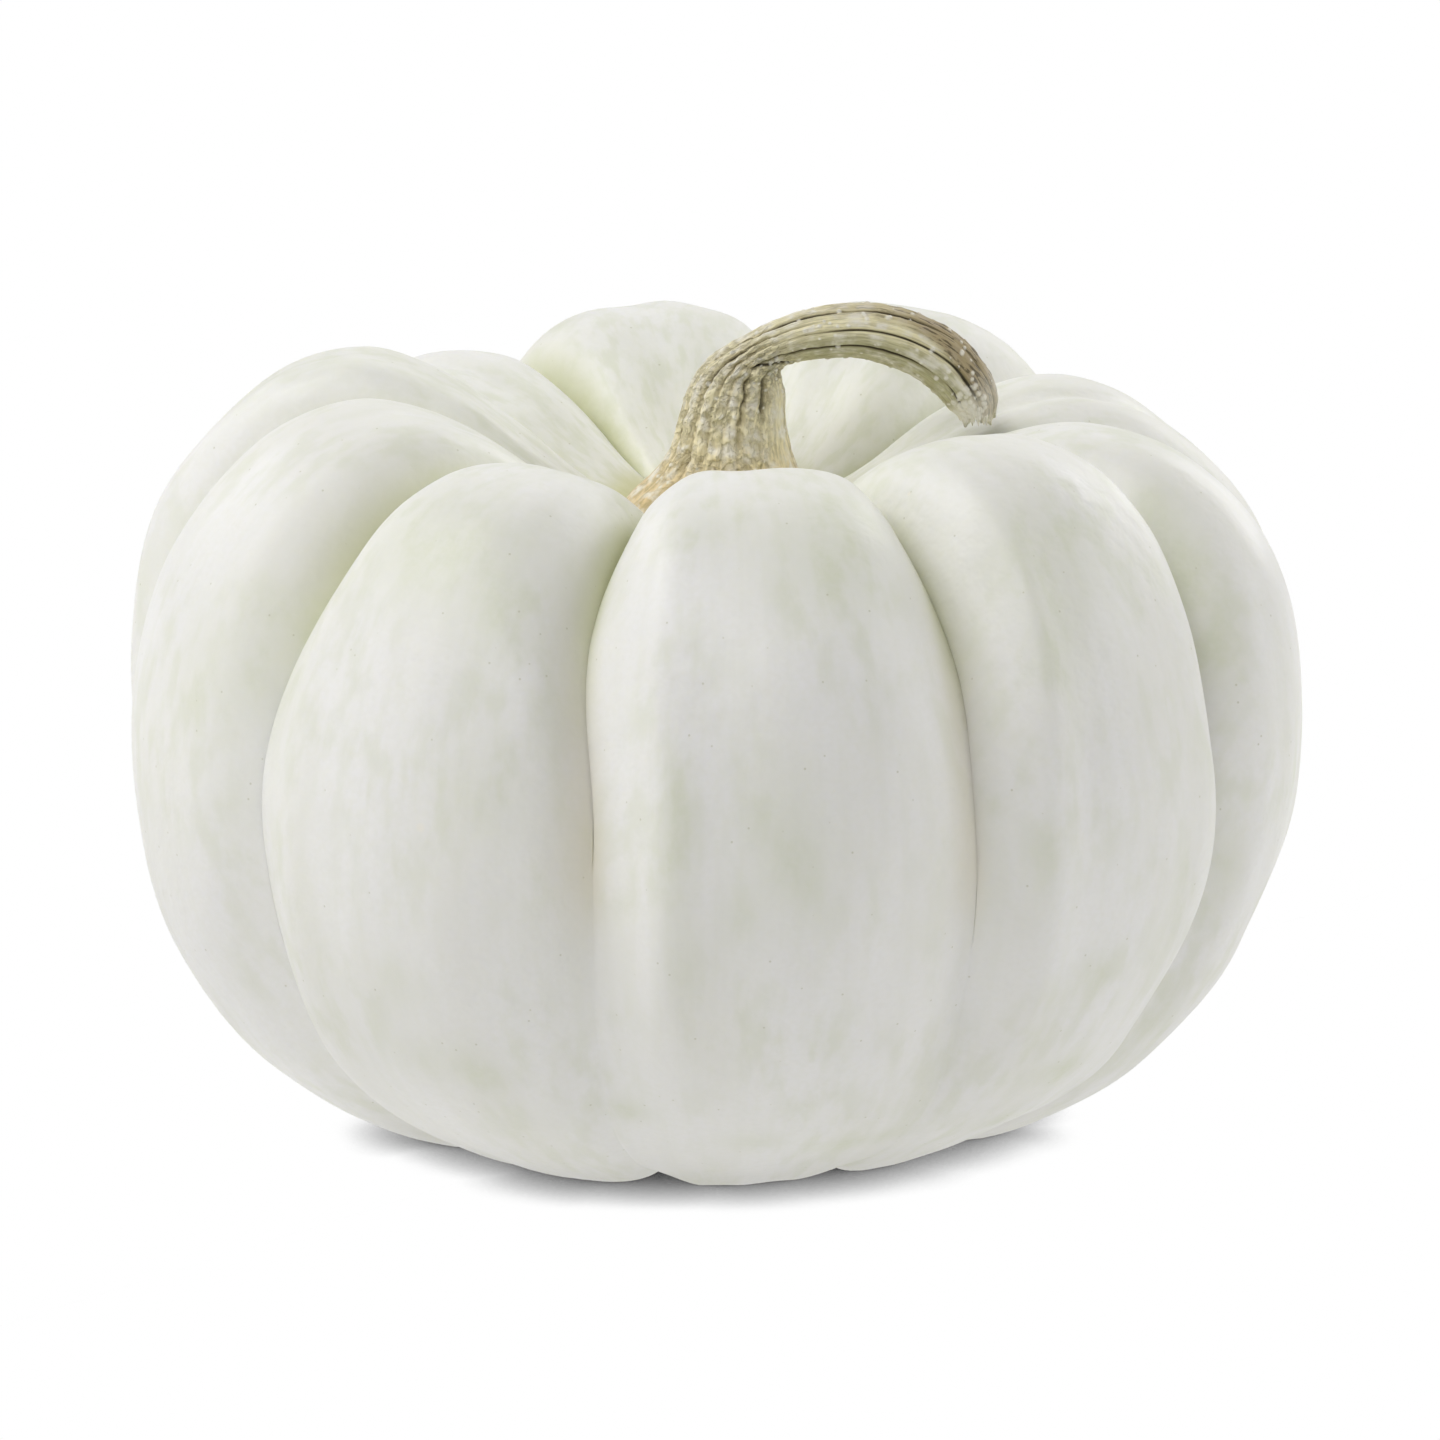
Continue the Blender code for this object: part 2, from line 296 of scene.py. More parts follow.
# The paper floor as it lights the object; and the painted contact shadow that the camera sees: how far it
# reaches, how open the floor is, as a share, where it is darkest and where it ends, and how it fades
FLOOR_TONE, FLOOR_GLOW = 0.5, 0.43
SHADOW_REACH = 5.2 * MM
SHADOW_DARKEST, SHADOW_OPEN, SHADOW_SOFTNESS = 0.0, 0.355, 0.8
ROOM_LIGHT, BACKDROP_LIGHT = 0.03, 1.0

# The softboxes: (name, place, width, height, power in watts), all turned towards one point
LIT_POINT = (0, 0, 0.03)
SOFTBOXES = (
    ("left_softbox", (-0.6, -0.15, 0.35), 0.5, 0.5, 0.95),
    ("left_back_softbox", (-0.45, 0.45, 0.35), 0.4, 0.4, 0.55),
    ("right_softbox", (0.6, -0.05, 0.3), 0.4, 0.4, 1.45),
    ("right_back_softbox", (0.45, 0.5, 0.3), 0.4, 0.4, 1.6),
    ("top_left_softbox", (-0.45, 0.0, 0.65), 0.4, 0.4, 2.3),
    ("top_back_softbox", (0.0, 0.55, 0.6), 0.5, 0.5, 0.6),
    ("top_front_softbox", (-0.17, -0.5, 0.65), 0.4, 0.4, 1.92),
    ("backdrop_softbox", (0.0, 1.3, 0.4), 1.8, 0.8, 3.0),
)

# The camera looks down a little on the fruit. Its place is given from the fruit's axis: to the right,
# up in its own frame, and back.
CAMERA_PITCH = math.radians(15.5)
CAMERA_RIGHT, CAMERA_UP, CAMERA_BACK = -0.04 * MM, 29.55 * MM, 600 * MM
SENSOR_MM, LENS_MM = 36.0, 194.4


def to_linear(hex_colour):
    """An sRGB colour written as six hex digits, as linear red, green, blue and alpha."""
    shares = [int(hex_colour[i : i + 2], 16) / 255 for i in (0, 2, 4)]
    return (*(s / 12.92 if s <= 0.04045 else ((s + 0.055) / 1.055) ** 2.4 for s in shares), 1.0)


def length_setting(name, description, default):
    return bpy.props.FloatProperty(
        name=name, description=description, default=default, min=0, unit="LENGTH", precision=5
    )


def colour_setting(name, description, hex_colour):
    default = to_linear(hex_colour)
    return bpy.props.FloatVectorProperty(
        name=name, description=description, default=default, size=4, min=0, max=1, subtype="COLOR"
    )


class PUMPKIN_PG_sizes(bpy.types.PropertyGroup):
    """Real sizes of the pumpkin"""

    equator_radius: length_setting("Equator radius", "Half the width over the widest ribs", EQUATOR_RADIUS)
    crown_height: length_setting("Crown height", "Height of the fruit's crown", CROWN_HEIGHT)
    skin_lumps: length_setting("Skin lumps", "Height of the low lumps on the skin", 0.15 * MM)
    groove_depth: length_setting("Groove depth", "Depth of the stalk's deepest grooves", 0.42 * MM)
    bristle_radius: length_setting("Bristle radius", "Mean radius of the bristle bumps", 0.17 * MM)


class PUMPKIN_PG_colours(bpy.types.PropertyGroup):
    """Colours of the skin and the stalk"""

    skin: colour_setting("Skin", "Clean white of the skin", "F3F2EF")
    cloud: colour_setting("Cloud", "Wide faint clouds on the skin", "EBEAE2")
    patch: colour_setting("Patch", "Soft pale green patches", "DCDFC8")
    crown: colour_setting("Crown", "Tint of the hollow round the stalk", "EEEFE4")
    furrow: colour_setting("Furrow", "Yellow-green at the bottom of the furrows", "D6D8AC")
    seat: colour_setting("Seat", "Yellow-green ring round the stalk's foot", "CFCF9C")
    tan: colour_setting("Tan", "Warm tint in the front furrows", "E4DCC2")
    speck: colour_setting("Speck", "Tiny olive specks", "A8A67C")
    scar: colour_setting("Scar", "Cork of the blossom scar", "BFA274")
    straw: colour_setting("Straw", "Pale straw of the stalk's ridges", "F6EDC8")
    khaki: colour_setting("Khaki", "Drier khaki of the stalk's arch", "F1E9C0")
    foot: colour_setting("Foot", "Warm tan of the stalk's foot", "E0C48E")
    bark: colour_setting("Bark", "Warm brown of the arch's upper side", "9A8660")
    # The valley brown and the dark groove brown are partly the stalk's own colour and partly painted shade
    # in its grooves
    valley: colour_setting("Valley", "Brown of the wider valleys on the stalk", "8A7E58")
    groove: colour_setting("Groove", "Dark brown in the stalk's grooves", "3A3222")
    # This grey green is also painted shade on the under side of the arch
    fold: colour_setting("Fold", "Grey green in the wrinkles of the fold", "98996F")
    # This whitish colour is also a painted highlight on the crests, and painted light on the under side of
    # the torn end
    bristle: colour_setting("Bristle", "Whitish bristle bumps and torn fibres", "F4F0E4")


def smooth_line(points, along):
    """The smooth line through the points, read at each share of its way, from 0 to 1."""
    points = np.asarray(points, float)
    stretches = len(points) - 1
    place = np.clip(along, 0, 1) * stretches
    first = np.minimum(place.astype(int), stretches - 1)
    f = (place - first)[..., None]
    before = 2 * points[0] - points[1]
    after = 2 * points[-1] - points[-2]
    padded = np.vstack([before, points, after])
    a, b, c, d = (padded[first + i] for i in range(4))
    bend = 2 * a - 5 * b + 4 * c - d
    twist = 3 * b - 3 * c + d - a
    return b + 0.5 * ((c - a) * f + bend * f**2 + twist * f**3)


def ramp(start, end, x):
    """0 before start, 1 after end, and a smooth rise between them."""
    f = np.clip((x - start) / (end - start), 0, 1)
    return f * f * (3 - 2 * f)


def bell(x, middle, width):
    return np.exp(-(((x - middle) / width) ** 2))


def lumps(points, size, seed, waves=28):
    """Smooth random relief, mostly between -1 and 1, whose lumps are about this size across."""
    chance = np.random.default_rng(seed)
    total = np.zeros(points.shape[:-1])
    for _ in range(waves):
        heading = chance.normal(size=3)
        heading /= np.linalg.norm(heading)
        turns = math.pi / size * chance.uniform(0.7, 1.4)
        total += np.sin(points @ (heading * turns) + chance.uniform(0, 2 * math.pi))
    return total * math.sqrt(2 / waves) / 1.6


def facing(grid):
    """The outward direction at each point of a grid of rows down and columns round."""
    down = np.gradient(grid, axis=0)
    round_it = np.roll(grid, -1, axis=1) - np.roll(grid, 1, axis=1)
    out = np.cross(down, round_it)
    return out / np.maximum(np.linalg.norm(out, axis=-1, keepdims=True), 1e-12)


def clear_selection():
    for chosen in list(bpy.context.selected_objects):
        chosen.select_set(False)


def rolled_sheet(name, grid, top, bottom, values):
    """A grid primitive whose points are moved onto these rows and columns, rolled up and sewn shut.

    The rows run down from the top point to the bottom point, and the columns round from +X towards +Y.
    The named values are kept on its points.
    """
    rows, columns = grid.shape[:2]

    def rolled(field, first, last):
        ends = [np.broadcast_to(end, field[:1].shape) for end in (first, last)]
        field = np.concatenate([ends[0], field, ends[1]])
        return np.concatenate([field, field[:, :1]], axis=1)

    clear_selection()
    bpy.ops.mesh.primitive_grid_add(x_subdivisions=columns, y_subdivisions=rows + 1, size=1)
    piece = bpy.context.object
    piece.name = piece.data.name = name
    place = rolled(grid, top, bottom)[::-1]
    piece.data.vertices.foreach_set("co", place.astype(np.float32).ravel())
    for key, value in values.items():
        vector = value.ndim == 3
        kept = piece.data.attributes.new(key, "FLOAT_VECTOR" if vector else "FLOAT", "POINT")
        placed = rolled(value, value[0].mean(axis=0), value[-1].mean(axis=0))[::-1]
        kept.data.foreach_set("vector" if vector else "value", placed.astype(np.float32).ravel())
    piece.data.update()
    bpy.ops.object.mode_set(mode="EDIT")
    bpy.ops.mesh.select_all(action="SELECT")
    bpy.ops.mesh.remove_doubles(threshold=SEAM_GAP)
    bpy.ops.mesh.normals_make_consistent(inside=False)
    bpy.ops.object.mode_set(mode="OBJECT")
    bpy.ops.object.shade_smooth()
    return piece


def rib_share(across, along, wall):
    """How far the skin stands from the furrow line, at 0, towards the rib line, at 1."""
    soft = FURROW_SOFT + FURROW_SOFTER_LOW * ramp(0.56, 0.70, along)
    inside = 1 - np.abs(across)
    inside = np.sqrt(inside**2 + soft**2) - soft
    inside = inside / (np.sqrt(1 + soft**2) - soft)
    crown = bell(along, 0.22, 0.17)
    foot = bell(along, 0.82, 0.10)
    roundness = RIB_ROUND + RIB_ROUNDER_CROWN * crown
    steepness = WALL_STEEP + WALL_STEEPER_CROWN * wall * crown + WALL_STEEPER_FOOT * foot
    return (1 - np.clip(1 - inside, 0, 1) ** roundness) ** (1 / steepness)


def furrow_angle(number, along):
    """The angle, in degrees round from the front, of the furrow at which a rib starts."""
    upper, lower = ramp(0.52, 0.38, along), ramp(0.56, 0.70, along)
    starts = np.array([(rib.start_upper, rib.start, rib.start_lower) for rib in RIBS])
    above, level, below = (column[number % len(RIBS)] for column in starts.T)
    lap = 360.0 * (number // len(RIBS))
    return lap + above * upper + level * (1 - upper - lower) + below * lower


def fruit_points(sizes, number, across, along):
    """Points of the skin before its relief, and their angle round from the front."""
    rib = Rib(*(np.array(column)[number] for column in zip(*RIBS)))
    first, second = furrow_angle(number, along), furrow_angle(number + 1, along)
    angle = np.radians(first + (second - first) * (across + 1) / 2)
    size = np.array((sizes.equator_radius, sizes.crown_height))
    ridge = smooth_line(RIB_LINE, along) * size
    furrow = smooth_line(FURROW_LINE, along) * size
    crown = bell(along, CROWN, 0.14)
    ridge_out = ridge[..., 0] * (1 + (rib.reach - 1) * bell(along, EQUATOR, 0.24))
    ridge_out += MM * (rib.crown_out * crown + rib.shoulder_out * bell(along, SHOULDER, 0.10))
    ridge_out += MM * (rib.upper_out * bell(along, UPPER, 0.08) + rib.lower_out * bell(along, LOWER, 0.07))
    ridge_up = ridge[..., 1] + MM * rib.crown_up * crown
    left = across < 0
    share = rib_share(across, along, np.where(left, rib.left_wall, rib.right_wall))
    # Each rib turns from its flanks to its front over a soft corner
    flank = ramp(0.22, 0.40, along) * ramp(0.72, 0.58, along)
    corner = MM * np.where(left, rib.left_corner, rib.right_corner)
    corner = corner * bell(1 - np.abs(across), 0.37, 0.15) * flank
    out = furrow[..., 0] + (ridge_out - furrow[..., 0]) * share + corner
    up = furrow[..., 1] + (ridge_up - furrow[..., 1]) * share
    up = up + 0.35 * corner * ramp(0.5, 0.35, along)
    x = FRUIT_AXIS[0] + out * np.sin(angle)
    y = FRUIT_AXIS[1] - out * np.cos(angle)
    return np.stack([x, y, up], axis=-1), angle


def fruit_grid(sizes):
    """The skin's points with their relief, and the values that the skin's colour follows."""
    seat = -np.linspace(1, 0, SEAT_ROWS + 1)[1:-1]
    scar = 1 + np.linspace(0, 1, SCAR_ROWS + 1)[1:-1]
    way = np.concatenate([seat, np.linspace(0, 1, RIB_ROWS), scar])[:, None]
    step = np.linspace(-1, 1, RIB_COLUMNS, endpoint=False)
    # The columns stand closer together in the furrows
    across = np.tile(step * (1.5 - 0.5 * step**2), len(RIBS))[None, :]
    number = np.repeat(np.arange(len(RIBS)), RIB_COLUMNS)[None, :]
    along = np.clip(way, 0, 1)
    grid, angle = fruit_points(sizes, number, across, along)
    level = 0 * angle
    round_x, round_y = MEAN_RADIUS * np.cos(angle), MEAN_RADIUS * np.sin(angle)
    grain = np.stack([round_x, round_y, SKIN_LENGTH * along + level], axis=-1)
    axis = np.array((*FRUIT_AXIS, 0))
    shrink = np.where(way < 0, 1 + way, np.where(way > 1, 2 - way, 1))
    grid = axis + (grid - axis) * np.stack([shrink, shrink, np.ones_like(shrink)], axis=-1)
    height = skin_relief(sizes, grid, grain, along)
    for rib, dent_across, dent_along, width, length, depth in DENTS:
        share = bell(across, dent_across, width) * bell(along, dent_along, length) * (number == rib)
        height = height - depth * MM * share
    grid = grid + facing(grid) * height[..., None]
    # The blossom scar is a shallow cork disc with a raised rim and a nub in its middle
    grid[..., 2] -= MM * (SCAR_RIM_MM * bell(way, 1.12, 0.09) + SCAR_NUB_MM * ramp(1.62, 2.0, way))
    grid[..., 2] = np.maximum(grid[..., 2], 0)
    crease = bell(1 - np.abs(across), 0, np.where(across > 0, TINT_REACH_LEFT, TINT_REACH_RIGHT))
    left_of_front = (number == len(RIBS) - 1) & (across > 0)
    right_of_front = (number == 1) & (across < 0)
    beside_front = (number == 0) | left_of_front | right_of_front
    values = {
        "grain": grain,
        "furrow": crease * ramp(0.02, 0.10, along) * ramp(0.48, 0.36, along),
        "tan": crease * ramp(0.34, 0.44, along) * ramp(0.60, 0.53, along) * beside_front,
        "crown": ramp(0.34, 0.12, along) + level,
        "scar": ramp(0.992, 1.03, way) + level,
        "seat": ramp(0.07, 0.02, along) + level,
        "green": green_share(sizes, grid),
    }
    return grid, values


def green_share(sizes, grid):
    """How green the skin is at each point, from 0 to 1, from the placed patches and the random ones."""
    chance = np.random.default_rng(PATCH_SEED)
    patches_here = list(GREEN_PATCHES)
    for _ in range(HIDDEN_PATCHES):
        rib = int(chance.integers(*HIDDEN_RIBS))
        across, along = chance.uniform(-0.9, 0.9), chance.uniform(0.30, 0.72)
        width, height = chance.uniform(1.5, 5.5), chance.uniform(2.0, 6.0)
        patches_here.append((rib, across, along, width, height, chance.uniform(0.4, 1.0)))
    total = np.zeros(grid.shape[:2])
    for rib, across, along, width, height, strength in patches_here:
        middle, _ = fruit_points(sizes, np.array(rib), np.array(across), np.array(along))
        away = (grid - middle) / (MM * np.array((width, width, height)))
        total += strength * np.exp(-np.sum(away**2, axis=-1))
    return np.clip(total, 0, 1)


def skin_relief(sizes, grid, grain, along):
    """How far the skin stands out, or in, beside the smooth ribs: long faint facets and low lumps."""
    bands = grain * np.array((1, 1, 0.12))
    drawn_out = grid * np.array((1, 1, 0.5))
    height = 1.1 * lumps(bands, 5 * MM, seed=7) + 0.9 * lumps(drawn_out, 9 * MM, seed=3)
    height = sizes.skin_lumps * (height + 0.3 * lumps(drawn_out, 3.2 * MM, seed=5))
    return height * ramp(0.0, 0.12, along) * ramp(1.0, 0.93, along)


def groove_relief(turn, arch):
    """For each direction round the stalk: 0 in a groove to 1 on a ridge, and the groove's depth there."""
    table = np.array(STALK_GROOVES)
    again = table[0] + np.array((360, 360, 0, 0))
    on_column, on_arch, column_depth, arch_depth = np.vstack([table, again]).T
    turn = np.degrees(turn)
    turn = on_arch[0] + (turn - on_arch[0]) % 360
    turn = turn + arch * (np.interp(turn, on_arch, on_column) - turn)
    turn = on_column[0] + (turn - on_column[0]) % 360
    ridge = np.clip(np.searchsorted(on_column, turn, side="right") - 1, 0, len(STALK_GROOVES) - 1)
    share = (turn - on_column[ridge]) / (on_column[ridge + 1] - on_column[ridge])
    nearer = np.where(share < 0.5, ridge, ridge + 1)
    depth = column_depth[nearer] * (1 - arch) + arch_depth[nearer] * arch
    # A ridge on the arch is broad and round with a finer line on it; one on the column is narrower
    line = 0.35 + 0.3 * ((ridge * 0.618) % 1)
    crest = np.sin(math.pi * np.clip(share, 0, 1)) ** (0.9 - 0.4 * arch)
    return crest - 0.2 * arch * bell(share, line, 0.06), depth


# What each point of the stalk has of its features, as shares: its foot and its arch, the wrinkled fold,
# the crease, the split, the crust and the rough bark; the crest of its ridges, and how deep and how
# broken its grooves are; how far round to its right or under side it lies; and a place for patterns
# that go round the stalk and along it
Marks = namedtuple(
    "Marks",
    "foot arch fold crease split crust rough crest groove_depth broken under_share round_and_along",
)


def stalk_surface():
    """The smooth stalk: the place along it of each row, the angle round it of each column, its points
    and the direction out of it at each."""
    way = np.linspace(0, 1, STALK_ROWS)
    cuts = smooth_line(STALK_CUTS_MM, way) * MM
    upper, under, depth = cuts[:, 0:2], cuts[:, 2:4], cuts[:, 4:5]
    turn = np.linspace(0, 2 * math.pi, STALK_COLUMNS, endpoint=False)[None, :]
    way = way[:, None]
    sway = STALK_SWAY * np.sin(math.pi * way)
    centre = (upper + under) / 2
    half = (upper - under) / 2
    middle = np.stack([FRUIT_AXIS[0] + centre[:, :1], FRUIT_AXIS[1] - sway, centre[:, 1:]], axis=-1)
    cosine, sine = np.cos(turn), np.sin(turn)
    spoke = np.stack([half[:, :1] * cosine, depth * sine, half[:, 1:] * cosine], axis=-1)
    radius = np.linalg.norm(spoke, axis=-1)
    out = spoke / np.maximum(radius, 1e-9)[..., None]
    return way, turn, middle + spoke, out


def stalk_marks(way, turn, grid):
    """The stalk's marks, from the place along it, the angle round it and its smooth points."""
    level = 0 * way + 0 * turn
    cosine, sine = np.cos(turn), np.sin(turn)
    degrees = (np.degrees(turn) + 180) % 360 - 180
    foot = ramp(FOOT_TOP, 0.02, way)
    arch = ramp(FOLD, ARCH + 0.06, way) + level
    column = 1 - arch
    front = ramp(0.6, -0.1, sine)
    # The grooves wander a little on their way, and are jagged on the column
    round_and_along = np.stack([cosine + level, sine + level, 6 * way + level], axis=-1)
    wander = 0.06 * lumps(round_and_along, 1.6, seed=17) + 0.035 * column * lumps(grid, 0.5 * MM, seed=19)
    crest, groove_depth = groove_relief(turn + wander, arch)
    broken = np.clip(0.8 + 0.4 * lumps(round_and_along, 0.55, seed=21), 0.2, 1.2)
    fold = bell(way, FOLD, 0.06) * ramp(0.6, -0.2, cosine) * front
    under_share = (1 - cosine) / 2
    crease = bell(way, CREASE_START + CREASE_RISE * (under_share - 0.5), CREASE_WIDTH)
    crease = crease * ramp(0.40, 0.56, under_share) * front
    split = ramp(0.88, 0.96, way) * bell(degrees, -31, 8)
    # A whitish crust runs down one ridge to the torn end, and a smooth facet up the column's right
    gaps = np.clip(0.6 + lumps(grid, 0.5 * MM, seed=59), 0, 1)
    crust = bell(degrees, -98, 13) * ramp(0.76, 0.86, way) * gaps
    facet = bell(degrees, -152, 20) * column
    rough = np.clip(column * (1 - 0.9 * facet) * (1 - 0.5 * foot) + fold, 0, 1)
    return Marks(
        foot=foot,
        arch=arch,
        fold=fold,
        crease=crease,
        split=split,
        crust=crust,
        rough=rough,
        crest=crest,
        groove_depth=groove_depth,
        broken=broken,
        under_share=under_share,
        round_and_along=round_and_along,
    )


def stalk_relief(sizes, way, turn, grid, marks):
    """How far the stalk stands out, or in, beside its smooth surface, without its bristle bumps."""
    foot, column = marks.foot, 1 - marks.arch
    cosine, sine = np.cos(turn), np.sin(turn)
    depth = marks.groove_depth * marks.broken * (0.75 + 0.15 * column - 0.55 * foot)
    height = -sizes.groove_depth * depth * (1 - marks.crest)
    height = height - CREASE_DEPTH * marks.crease - SPLIT_DEPTH * marks.split
    knobs = np.clip(lumps(grid, 0.5 * MM, seed=23), -0.3, 1.5)
    knob_height = 0.03 + 0.11 * column * (1 - foot) * np.abs(sine)
    height = height + MM * knobs * (0.3 + 0.7 * marks.crest) * knob_height
    height = height + MM * marks.fold * (0.30 * lumps(grid, 0.7 * MM, seed=29) - 0.10)
    crumbly = marks.rough * np.abs(sine) ** 1.5
    height = height + CRUMB_HEIGHT * crumbly * lumps(grid, 0.32 * MM, seed=33) + CRUST_HEIGHT * marks.crust
    height = height + 0.03 * MM * lumps(grid, 1.4 * MM, seed=31)
    height = height + 0.25 * MM * foot * lumps(marks.round_and_along, 0.8, seed=37)
    # The foot spreads over the seat on its left
    height = height + FOOT_SPREAD * bell(way, 0.02, 0.05) * ramp(-0.2, 0.8, cosine)
    # The rows crowd together under the fold, and relief there would cross itself
    spacing = np.linalg.norm(np.gradient(grid, axis=0), axis=-1)
    return height * ramp(0.01 * MM, 0.06 * MM, spacing)


def stalk_values(way, turn, marks, bristle):
    """The values that the stalk's colour follows."""
    level = 0 * way + 0 * turn
    degrees = (np.degrees(turn) + 180) % 360 - 180
    fibre = [FIBRE_RADIUS * np.cos(turn) + level, FIBRE_RADIUS * np.sin(turn) + level]
    fibre = np.stack([*fibre, FIBRE_LENGTH * way + level], axis=-1)
    # The grooves, the crease and the split are painted darker by their depth: partly the stalk's own darker
    # grooves, partly painted shade in them
    trough = (1 - marks.crest) * marks.groove_depth * marks.broken * (1 - 0.45 * (1 - marks.arch))
    trough = np.clip(trough * (1 - 0.5 * marks.foot), 0, 1)
    # The brown of the arch's upper side comes farther down towards the end
    reach = 0.85 - 0.65 * ramp(0.66, 0.90, way)
    stain = 0.4 * ramp(0.45, 0.58, way) + 0.6 * ramp(0.58, 0.74, way)
    stain = stain * ramp(1.0, 0.96, way) * ramp(reach - 0.15, reach + 0.10, np.cos(turn + 0.2))
    warm = 0.8 * bell(way, 0.935, 0.03) * bell(degrees, -122, 16)
    # The torn end is pale with its fibres, and its under side is painted paler still: painted light where
    # the arch shades it
    pale_end_and_painted_light = ramp(0.82, 0.93, way) * (0.55 + 0.45 * ramp(0.3, 0.8, marks.under_share))
    return {
        "fibre": fibre,
        "groove": np.maximum(trough, np.maximum(0.75 * marks.crease, 0.7 * marks.split)),
        "foot": np.maximum(ramp(0.24, 0.03, way), warm),
        "rough": marks.rough,
        "fold": marks.fold + level,
        "arch": marks.arch,
        # Painted shade: the under side of the arch is darkened to grey green, where the arch shades itself
        "under": marks.arch * ramp(0.32, 0.62, marks.under_share) * ramp(0.94, 0.84, way),
        "stain": stain,
        "end": np.maximum(pale_end_and_painted_light, marks.crust),
        "bristle": bristle,
    }


def stalk_grid(sizes):
    """The stalk's points, from its foot to the middle of its cut end, and the values for its colour."""
    way, turn, grid, out = stalk_surface()
    marks = stalk_marks(way, turn, grid)
    grid = grid + out * stalk_relief(sizes, way, turn, grid, marks)[..., None]
    bumps, bristle = bristle_bumps(sizes, grid)
    grid = grid + out * bumps[..., None]
    # The end is torn, so its rim is ragged
    coarse = lumps(marks.round_and_along, 0.35, seed=41)
    ragged = coarse + 0.7 * lumps(marks.round_and_along, 0.10, seed=43)
    grid = grid + (END_RAGGED * ragged * ramp(0.965, 1.0, way))[..., None] * np.array(END_WAY)
    grid[..., 2] -= FOOT_DEPTH * ramp(0.06, 0.0, way)
    return with_torn_end(grid, stalk_values(way, turn, marks, bristle))


def bristle_bumps(sizes, grid):
    """Height of the bristle bumps at each point, and their share there, from 0 to 1."""
    chance = np.random.default_rng(BRISTLE_SEED)
    height = np.zeros(grid.shape[:2])
    share = np.zeros(grid.shape[:2])
    rows, columns = grid.shape[:2]
    front = columns * 3 // 4
    for count, first, last, in_front, size in BRISTLES:
        for _ in range(count):
            row = int(chance.uniform(first, last) * rows)
            if in_front:
                column = front + int(chance.uniform(-0.12, 0.08) * columns)
            else:
                column = chance.integers(columns)
            radius = sizes.bristle_radius * chance.uniform(0.5, 1.3) * size
            nearby = slice(max(row - BRISTLE_ROWS, 0), row + BRISTLE_ROWS + 1)
            away = np.linalg.norm(grid[nearby] - grid[row, column % columns], axis=-1)
            dome = np.sqrt(np.clip(1 - (away / radius) ** 2, 0, 1))
            height[nearby] = np.maximum(height[nearby], 0.55 * radius * dome)
            share[nearby] = np.maximum(share[nearby], dome)
    return height, share


def with_torn_end(grid, values):
    """Adds the rows of the cut end, which run in from its ragged rim to its hollow, fibrous middle."""
    rim = grid[-1]
    middle = rim.mean(axis=0)
    inwards = np.linspace(0, 1, CUT_ROWS + 2)[1:-1, None, None]
    rows = rim + (middle - rim) * inwards
    way_in = inwards[..., 0]
    hollow = 0.7 * ramp(0.05, 0.5, way_in) + 0.22 * lumps(rows, 0.45 * MM, seed=47) * ramp(0, 0.2, way_in)
    rows[..., 2] += MM * hollow
    longer = {}
    for key, value in values.items():
        repeated = np.repeat(value[-1:], CUT_ROWS, axis=0)
        longer[key] = np.concatenate([value, repeated])
    longer["fibre"][-CUT_ROWS:] *= 1 - inwards * np.array((1, 1, 0))
    longer["groove"][-CUT_ROWS:] *= 0.4
    return np.concatenate([grid, rows]), longer


def add_node(tree, kind, settings=(), links=()):
    """Adds a node. Settings name its properties or sockets; links name sockets and what feeds them."""
    made = tree.nodes.new(kind)
    for key, value in dict(settings).items():
        if isinstance(key, str) and hasattr(made, key):
            setattr(made, key, value)
        else:
            made.inputs[key].default_value = value
    for key, source in dict(links).items():
        tree.links.new(source, made.inputs[key])
    return made


def new_material(name):
    material = bpy.data.materials.new(name)
    material.use_nodes = True
    tree = material.node_tree
    return material, tree, tree.nodes["Principled BSDF"]


def kept_values(tree, *names):
    """The values kept on the piece's points, by name: vectors for a pattern's place, or shares."""
    sockets = []
    for name in names:
        made = add_node(tree, "ShaderNodeAttribute", {"attribute_name": name})
        sockets.append(made.outputs["Vector" if name in ("grain", "fibre") else "Fac"])
    return sockets


def between(tree, value, zero_at, one_at):
    """A mask that goes smoothly from 0 at one value to 1 at the other."""
    limits = {"interpolation_type": "SMOOTHSTEP", "From Min": zero_at, "From Max": one_at}
    return add_node(tree, "ShaderNodeMapRange", limits, {"Value": value}).outputs[0]


def patches(tree, place, across, along, low, high, detail=3.0):
    """A mask of noise patches, this wide and this long: 0 up to the low noise and 1 from the high."""
    stretch = {"Scale": (1 / across, 1 / across, 1 / along)}
    scaled = add_node(tree, "ShaderNodeMapping", stretch, {"Vector": place})
    settings = {"Scale": 1.0, "Detail": detail}
    noise = add_node(tree, "ShaderNodeTexNoise", settings, {"Vector": scaled.outputs[0]})
    return between(tree, noise.outputs[0], low, high)


def specks(tree, place, apart, radius):
    """A mask of small round dots, about this far apart and of this radius at most."""
    shrink = {"Scale": (1 / apart, 1 / apart, 1 / apart)}
    scaled = add_node(tree, "ShaderNodeMapping", shrink, {"Vector": place})
    cells = add_node(tree, "ShaderNodeTexVoronoi", {"Scale": 1.0}, {"Vector": scaled.outputs[0]})
    return between(tree, cells.outputs["Distance"], radius / apart, 0.4 * radius / apart)


